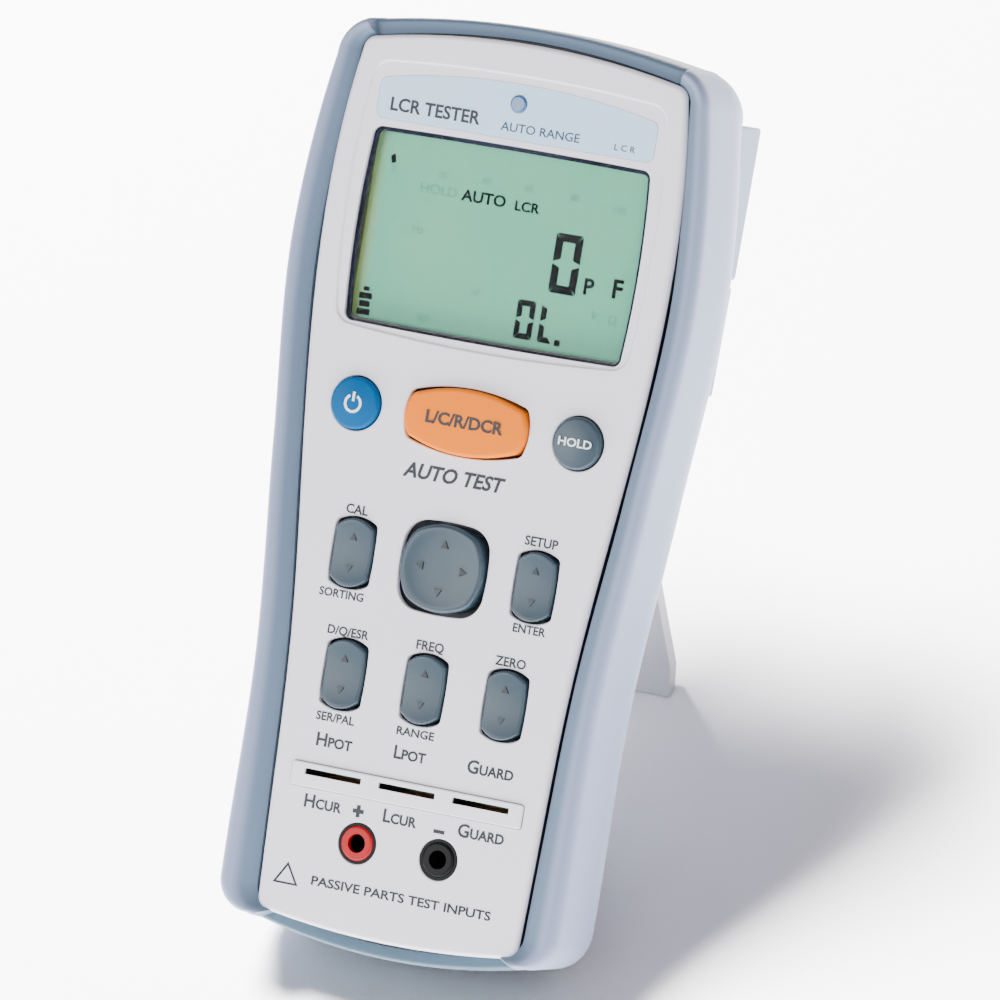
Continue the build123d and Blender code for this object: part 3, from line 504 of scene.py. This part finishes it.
faint = [
    ("HOLD", -16.5, 62.0, 2.0, 1.1), ("0", -27.6, 64.8, 1.5, 1), ("20", -16.1, 65.3, 1.5, 1),
    ("40", -5.9, 65.6, 1.5, 1), ("60", 4.1, 65.6, 1.5, 1), ("80", 14.8, 65.3, 1.5, 1),
    ("100", 25.2, 64.2, 1.5, 1), ("Hz", -19.8, 53.2, 1.8, 1), ("k", 23.4, 41.9, 2.0, 1),
    ("Ω", 27.6, 41.4, 2.0, 1), ("SET", -15.1, 34.9, 1.4, 1), ("pF", -4.3, 42.3, 1.5, 1),
]
words("display_faint_marks", faint, CELL_FACE, faint_ink, "meter", 0.02)

legend_ink = moulded("legend_print", "#0a1622", "#08131e", 0.5, 0.3, 0.02)[0]
legends = [
    ("CAL", -21.8, -6.9, 1.9, 1.0), ("SORTING", -22.2, -25.0, 1.7, 1.0), ("SETUP", 21.3, -6.6, 1.9, 1.0),
    ("ENTER", 21.6, -25.0, 1.75, 1.0), ("D/Q/ESR", -19.4, -32.6, 1.8, 1.0), ("FREQ", -0.1, -32.3, 1.9, 1.0),
    ("ZERO", 18.8, -32.4, 1.9, 1.0), ("SER/PAL", -19.1, -50.9, 1.75, 1.0), ("RANGE", -0.3, -50.8, 1.7, 1.1),
    ("Hpot", -18.5, -55.9, 2.7, 1.0), ("Lpot", -0.8, -55.4, 2.7, 1.0), ("Guard", 18.1, -55.4, 2.7, 1.0),
    ("Hcur", -18.9, -69.1, 2.7, 1.0), ("Lcur", -0.8, -69.0, 2.7, 1.0), ("Guard", 18.3, -68.9, 2.7, 1.0),
]
words("face_legends", legends, 0.0, legend_ink, "meter", bold=0.036)
title = [("AUTO TEST", -1.1, 3.4, 3.0, 1.0)]
words("face_title", title, 0.0, legend_ink, "meter", bold=0.045, slant=0.22)
PLUS = [(-0.45, -1.3), (0.45, -1.3), (0.45, -0.45), (1.3, -0.45), (1.3, 0.45), (0.45, 0.45)]
PLUS += [(-x, -y) for x, y in PLUS]
MINUS = [(-1.3, -0.4), (1.3, -0.4), (1.3, 0.4), (-1.3, 0.4)]
signs = [[(x - 10.4, y - 69.1) for x, y in PLUS], [(x + 8.7, y - 70.0) for x, y in MINUS]]
TRIANGLE = np.array([(-24.5, -82.4), (-27.5, -87.2), (-21.5, -87.2)])
INSIDE = TRIANGLE.mean(0) + (TRIANGLE - TRIANGLE.mean(0)) * 0.72
for k in range(3):
    following = (k + 1) % 3
    edge = (TRIANGLE[k], TRIANGLE[following], INSIDE[following], INSIDE[k])
    signs.append([tuple(corner) for corner in edge])
foot_line = [("PASSIVE PARTS TEST INPUTS", 2.4, -85.4, 1.85, 1.25)]
words("face_foot_line", foot_line, 0.0, legend_ink, "meter", bold=0.036)
plates("polarity_signs", signs, -0.02, 0.03, legend_ink, "meter")

# ------------------------------------------------------------------ header plate and status lens
# Pale printed film above the display, sunk a little below the face, with a round tinted lens over the status
# light. A thin clear coat gives the film its faint gloss.
HEADER_TOP = -0.36
coat = {"Coat Weight": 0.1, "Coat Roughness": 0.15}
film = moulded("printed_header_film", "#b5d6f1", "#afd2ef", 0.3, 0.6, 0.03, coat)[0]
refinish("header_plate", film)
lens = polished("tinted_lens", {"Base Color": linear("#30608f"), "Coat Weight": 0.5}, 200.0, 0.1, 0.18)
refinish("status_lens", lens)
header_ink = moulded("header_print", "#043a58", "#033350", 0.45, 0.3, 0.02)[0]
header_title = [("LCR TESTER", -18.9, 78.3, 2.7, 1.0)]
words("header_title", header_title, HEADER_TOP, legend_ink, "meter", bold=0.035)
header_line = [("AUTO RANGE", 5.9, 77.6, 1.8, 1.1), ("L C R", 25.4, 77.2, 1.3, 1.1)]
words("header_words", header_line, HEADER_TOP, header_ink, "meter", bold=0.01)


# ------------------------------------------------------------------ keys
# Moulded caps that stand a little proud of the face. Their tops are crowned, the rockers' are hollowed along
# their length and the pad's towards its middle, with a small radius round each top edge.
def bowed(width, height, side_bow, end_bow, corner, steps=12):
    """Rectangle with bowed edges: parabolic edges of the smaller shape pushed out by the corner radius."""
    x, y = width / 2 - side_bow - corner, height / 2 - end_bow - corner
    corners = np.array([(x, -y), (x, y), (-x, y), (-x, -y)])
    t = np.linspace(0, 1, steps)[:, None]
    base, outward = [], []
    for k, bow in enumerate((side_bow, end_bow, side_bow, end_bow)):
        start, chord = corners[k], corners[(k + 1) % 4] - corners[k]
        out = np.array([chord[1], -chord[0]]) / np.hypot(*chord)
        tangent = chord + out * bow * 4 * (1 - 2 * t)
        base.append(start + t * chord + out * bow * 4 * t * (1 - t))
        sideways = np.stack([tangent[:, 1], -tangent[:, 0]], 1)
        outward.append(sideways / np.linalg.norm(tangent, axis=1)[:, None])
    line = []
    for k in range(4):
        line.append(base[k] + corner * outward[k])
        first, last = outward[k][-1], outward[(k + 1) % 4][0]
        begin = atan2(first[1], first[0])
        sweep = (atan2(last[1], last[0]) - begin) % tau
        angle = begin + sweep * np.linspace(0, 1, steps)[1:-1]
        line.append(base[k][-1] + corner * np.stack([np.cos(angle), np.sin(angle)], 1))
    return np.concatenate(line)


def circle(radius, steps=72):
    """Outline of a circle round the origin."""
    angle = np.arange(steps) * tau / steps
    return radius * np.stack([np.cos(angle), np.sin(angle)], 1)


def cap(outer, inner, top, low, edge):
    """Closed key cap: rings from the middle to the inner outline at height top(x, y), a quarter round to the
    outer outline, a straight skirt down to low and a flat underside."""
    count = len(outer)
    rings = [(inner * s, top(*(inner * s).T)) for s in np.linspace(0, 1, 15)[1:]]
    rim = top(*inner.T)
    for angle in np.linspace(0, pi / 2, 7)[1:]:
        rings.append((inner + (outer - inner) * sin(angle), rim - edge * (1 - cos(angle))))
    rings += [(outer, np.full(count, low)), (outer * 0.5, np.full(count, low))]
    points = np.concatenate([np.column_stack([xy, z]) for xy, z in rings])
    middle = [[0, 0, float(top(np.zeros(1), np.zeros(1))[0])], [0, 0, low]]
    points = np.concatenate([points, middle])
    faces = quads(len(rings), count, False, True).tolist()
    last = (len(rings) - 1) * count
    pole = len(points) - 2
    faces += [[i, (i + 1) % count, pole] for i in range(count)]
    faces += [[last + (i + 1) % count, last + i, pole + 1] for i in range(count)]
    return points, faces


def crown(height, rise, radius):
    """Height of a shallow dome: rise in the middle, falling away as the square of the distance."""
    return lambda x, y: height + rise * (1 - (x * x + y * y) / radius**2)


KEY_LOW = -3.4
blue = moulded("blue_key_plastic", "#005990", "#005388", 0.5, 0.4, 0.04, {"Specular IOR Level": 0.1})[0]
grey = moulded("grey_key_plastic", "#31434e", "#2d3e49", 0.36, 0.4, 0.08, {"Specular IOR Level": 0.4})[0]
orange = moulded("orange_key_plastic", "#f58000", "#f17a00", 0.6, 0.4, 0.05, {"Specular IOR Level": 0.08})[0]
KEY_ROW = 15.2
ROUND_KEY_X = 25.9
ROUND_KEYS = [("power_button", -ROUND_KEY_X, blue, "key_blue")]
ROUND_KEYS += [("hold_button", ROUND_KEY_X, grey, "key_grey")]
for name, x, material, slot_name in ROUND_KEYS:
    points, faces = cap(circle(5.55), circle(4.75), crown(1.3, 0.45, 4.7), KEY_LOW, 0.8)
    piece(f"{name}_cap", points + (x, KEY_ROW, 0), faces, material, name, [name])
outer, inner = bowed(28.4, 14.0, 1.0, 2.2, 1.7), bowed(26.8, 12.4, 1.0, 2.15, 1.0)
points, faces = cap(outer, inner, crown(1.25, 0.35, 14.0), KEY_LOW, 0.8)
points = points + (0, KEY_ROW, 0)
piece("auto_test_button_cap", points, faces, orange, "auto_test_button", ["auto_test_button"])
ROCKERS = {"calibrate_rocker": (-21.3, -15.9), "setup_rocker": (21.3, -15.9),
           "parameter_rocker": (-18.8, -41.4), "frequency_rocker": (0.0, -41.4), "zero_rocker": (18.8, -41.4)}
ROCKER_MIDDLE, ROCKER_RISE, ROCKER_REACH = 0.35, 0.95, 7.3
PAD_AT = np.array([0, -15.7, 0])


def hollow(x, y):
    """Height of a rocker's top: it rises with the square of y and falls a little with the square of x."""
    return ROCKER_MIDDLE + ROCKER_RISE * (np.abs(y) / ROCKER_REACH) ** 2 - 0.03 * x * x / 4


def dish(x, y):
    """Height of the pad's top: it rises with the cube of the distance from the middle, up to its edge."""
    return 0.75 + 0.55 * np.clip((x * x + y * y) / 8.6**2, 0, 1) ** 1.5


outer, inner = bowed(9.2, 14.6, 0.25, 1.4, 1.0), bowed(8.2, 13.6, 0.25, 1.35, 0.5)
for name, (x, y) in ROCKERS.items():
    points, faces = cap(outer, inner, hollow, KEY_LOW, 0.5)
    piece(f"{name}_cap", points + (x, y, 0), faces, grey, name, [name])
outer, inner = bowed(19.3, 18.6, 0.9, 0.9, 5.0), bowed(17.5, 16.8, 0.9, 0.9, 4.1)
points, faces = cap(outer, inner, dish, KEY_LOW, 0.9)
piece("navigation_pad_cap", points + PAD_AT, faces, grey, "navigation_pad", ["navigation_pad"])

# ------------------------------------------------------------------ marks on the keys
# Printed arrows, a power sign and plain words, each riding on its key.
white_ink = moulded("white_key_print", "#f2f5f7", "#e9edf0", 0.4, 0.3, 0.02)[0]
arrow_ink = moulded("dark_key_print", "#121b21", "#10181e", 0.45, 0.3, 0.02)[0]
dim_ink = moulded("dim_key_print", "#222e36", "#1f2a32", 0.45, 0.3, 0.02)[0]


def arc_band(x, y, radius, width, start, end, steps=40):
    """Outline of a flat ring sector: the outer arc one way and the inner arc back."""
    angle = np.linspace(start, end, steps)
    outer = np.stack([x + (radius + width / 2) * np.cos(angle), y + (radius + width / 2) * np.sin(angle)], 1)
    inner = np.stack([x + (radius - width / 2) * np.cos(angle), y + (radius - width / 2) * np.sin(angle)], 1)
    return [tuple(p) for p in np.concatenate([outer, inner[::-1]])]


def bar(x, y, width, height):
    """Outline of an upright bar round its middle."""
    left, right, low, high = x - width / 2, x + width / 2, y - height / 2, y + height / 2
    return [(left, low), (right, low), (right, high), (left, high)]


SIGN_STROKE = 0.55
gap_half = radians(28)
arc_ends = (pi / 2 + gap_half, pi / 2 - gap_half + tau)
power_sign = [arc_band(-ROUND_KEY_X, KEY_ROW - 0.1, 1.75, SIGN_STROKE, *arc_ends)]
power_sign.append(bar(-ROUND_KEY_X, KEY_ROW + 1.35, SIGN_STROKE, 2.0))
plates("power_sign", power_sign, 1.5, 1.78, white_ink, "power_button")
hold_word = [("HOLD", ROUND_KEY_X, KEY_ROW, 1.7, 1.15)]
words("hold_word", hold_word, 1.74, white_ink, "hold_button", bold=0.03)
auto_test_word = [("L/C/R/DCR", 0, KEY_ROW, 2.5, 1.05)]
words("auto_test_word", auto_test_word, 1.59, legend_ink, "auto_test_button", bold=0.048)


def triangle(x, y, reach, turn):
    """Outline of an arrowhead that points the way turn says, in radians from +x."""
    corners = [turn, turn + radians(125), turn - radians(125)]
    return [(x + reach * cos(a), y + reach * sin(a)) for a in corners]


arrow_height = hollow(0, 3.4)
low, high = arrow_height - 0.2, arrow_height + 0.2
for name, (x, y) in ROCKERS.items():
    up_arrow, down_arrow = triangle(x, y + 3.2, 0.95, pi / 2), triangle(x, y - 3.2, 0.95, -pi / 2)
    plates(f"{name}_up_arrow", [up_arrow], low, high, arrow_ink, name)
    plates(f"{name}_down_arrow", [down_arrow], low, high, dim_ink, name)
PAD_REACH = 4.9
pad_arrows = [triangle(PAD_REACH * cos(a), PAD_AT[1] + PAD_REACH * sin(a), 1.05, a) for a in (0, pi / 2, pi)]
pad_down_arrow = triangle(0, PAD_AT[1] - PAD_REACH, 1.05, -pi / 2)
plates("navigation_arrows", pad_arrows, 0.8, 1.12, arrow_ink, "navigation_pad")
plates("navigation_down_arrow", [pad_down_arrow], 0.8, 1.12, dim_ink, "navigation_pad")

# ------------------------------------------------------------------ test slots and jacks
# The slot block is light ABS with three slots over bronze springs. Each jack is a moulded insulator round a
# nickel-plated sleeve, in a black liner ring. The nickel is darker than bright plate: painted shade for the
# deep bore it lines.
slot_material, tree, principled = moulded("slot_block_abs", "#e9e9ef", "#e5e5ec", 0.4, 0.4, 0.1)
# Below the face the slot block is painted near black: painted shade down the deep slots.
paint_shade_below(tree, principled, "#0c0e11", -0.4, 0.1)
refinish("slot_block", slot_material)
red = moulded("red_insulator", "#ab000d", "#9e000b", 0.4, 0.5, 0.05, {"Specular IOR Level": 0.25})[0]
black = moulded("black_insulator", "#050608", "#040506", 0.4, 0.5, 0.06, {"Specular IOR Level": 0.15})[0]
refinish("positive_jack_collar", red)
refinish("negative_jack_collar", black)
refinish("jack_wells", black)
bronze = polished("spring_bronze", {"Metallic": 1.0, "Base Color": linear("#c89a5a")}, 700.0, 0.24, 0.38)
# Darker than bright nickel: painted shade down the bore.
shaded_nickel = polished("nickel_plate_painted_shade", {"Metallic": 1.0, "Base Color": linear("#6d6a64")}, 700.0, 0.24, 0.36)
for node in ("high_slot_contacts", "low_slot_contacts", "guard_slot_contacts", "fuse_clips"):
    refinish(node, bronze)
for node in ("positive_jack_sleeve", "negative_jack_sleeve"):
    refinish(node, shaded_nickel)

# ------------------------------------------------------------------ electronics
# Green masked laminate with moulded epoxy chips, cream relays, sleeved capacitors, a glass fuse and a
# jacketed battery, none of them seen with the case closed.
board = moulded("green_masked_laminate", "#1c5f38", "#174f2f", 0.35, 0.8, 0.1, {"Coat Weight": 0.3})[0]
epoxy = moulded("moulded_epoxy", "#1a1b1e", "#151619", 0.6, 0.4, 0.2)[0]
cream = moulded("relay_case_plastic", "#ded8c3", "#d5cfba", 0.4, 0.4, 0.1)[0]
sleeve = moulded("capacitor_sleeve", "#2c3e66", "#26365a", 0.3, 0.4, 0.05)[0]
glass = polished("fuse_glass", {"Base Color": linear("#e9efed"), "Alpha": 0.5}, 120.0, 0.04, 0.08)
jacket = moulded("battery_jacket", "#4a4f58", "#41464e", 0.3, 0.6, 0.05, {"Metallic": 0.4})[0]
inside = {"main_board": board, "measuring_chip": epoxy, "support_chips": epoxy, "range_relays": cream}
inside |= {"smoothing_capacitors": sleeve, "input_fuse": glass, "battery": jacket}
for node, material in inside.items():
    refinish(node, material)

# ------------------------------------------------------------------ floor, light and camera
# A plain pale bench under a bright surround. Two large soft boxes in front light the meter alone. A third,
# high on the left and a little behind, lights the bench alone, so the shadow falls to the right.
bpy.ops.mesh.primitive_plane_add(size=12)
floor = bpy.context.object
floor.name = "bench"
floor_material = polished("pale_bench", {"Base Color": linear("#fbfafb")}, 30.0, 0.86, 0.94)
floor.data.materials.append(floor_material)

world = bpy.data.worlds.new("surround")
bpy.context.scene.world = world
world.use_nodes = True
world.node_tree.nodes["Background"].inputs["Color"].default_value = linear("#fff6fa")
world.node_tree.nodes["Background"].inputs["Strength"].default_value = 0.5


def softbox(name, place, aim, size, watts, colour=(1.0, 1.0, 1.0)):
    """Square area light at a place in the bench's frame, aimed at a point."""
    data = bpy.data.lights.new(name, "AREA")
    data.size, data.energy, data.color = size, watts, colour
    lamp = bpy.data.objects.new(name, data)
    bpy.context.scene.collection.objects.link(lamp)
    lamp.location = place
    lamp.rotation_euler = (Vector(aim) - Vector(place)).to_track_quat("-Z", "Y").to_euler()
    return lamp


VIEW_YAW, VIEW_PITCH, VIEW_ROLL = radians(24.317), radians(3.040), radians(9.198)
VIEW_TARGET, VIEW_DISTANCE = np.array([10.364, 0.679, 0.0]), 2147.9
FIELD_OF_VIEW_LENS = 370.6
forward = np.array([-sin(VIEW_YAW) * cos(VIEW_PITCH), -sin(VIEW_PITCH), -cos(VIEW_YAW) * cos(VIEW_PITCH)])
level = np.cross(forward, (0, 1, 0))
level /= np.linalg.norm(level)
upright = np.cross(level, forward)
right = level * cos(VIEW_ROLL) + upright * sin(VIEW_ROLL)
up = upright * cos(VIEW_ROLL) - level * sin(VIEW_ROLL)
axes = TURN @ np.stack([right, up, -forward], 1)
camera_data = bpy.data.cameras.new("camera")
camera_data.lens, camera_data.sensor_width = FIELD_OF_VIEW_LENS, 36.0
camera_data.clip_end = 20.0
camera = bpy.data.objects.new("camera", camera_data)
bpy.context.scene.collection.objects.link(camera)
stand_point = stand_up(VIEW_TARGET - VIEW_DISTANCE * forward)
camera.matrix_world = Matrix.Translation(stand_point) @ Matrix(axes.tolist()).to_4x4()
bpy.context.scene.camera = camera

COOL_WHITE = (0.97, 0.98, 1.0)
fill = softbox("fill", (0.9, -0.9, 0.9), (0, 0, 0.07), 0.9, 12.5, COOL_WHITE)
front = softbox("front", (-0.8, -0.9, 0.9), (0, 0, 0.07), 0.9, 19.5, COOL_WHITE)
not_bench = bpy.data.collections.new("all_but_the_bench")
not_bench.objects.link(floor)
not_bench.collection_objects[0].light_linking.link_state = "EXCLUDE"
for lamp in (fill, front):
    lamp.light_linking.receiver_collection = not_bench
key = softbox("key", (-0.62, 0.45, 1.6), (0, 0, 0.05), 0.6, 330.0)
only_bench = bpy.data.collections.new("the_bench_alone")
only_bench.objects.link(floor)
key.light_linking.receiver_collection = only_bench
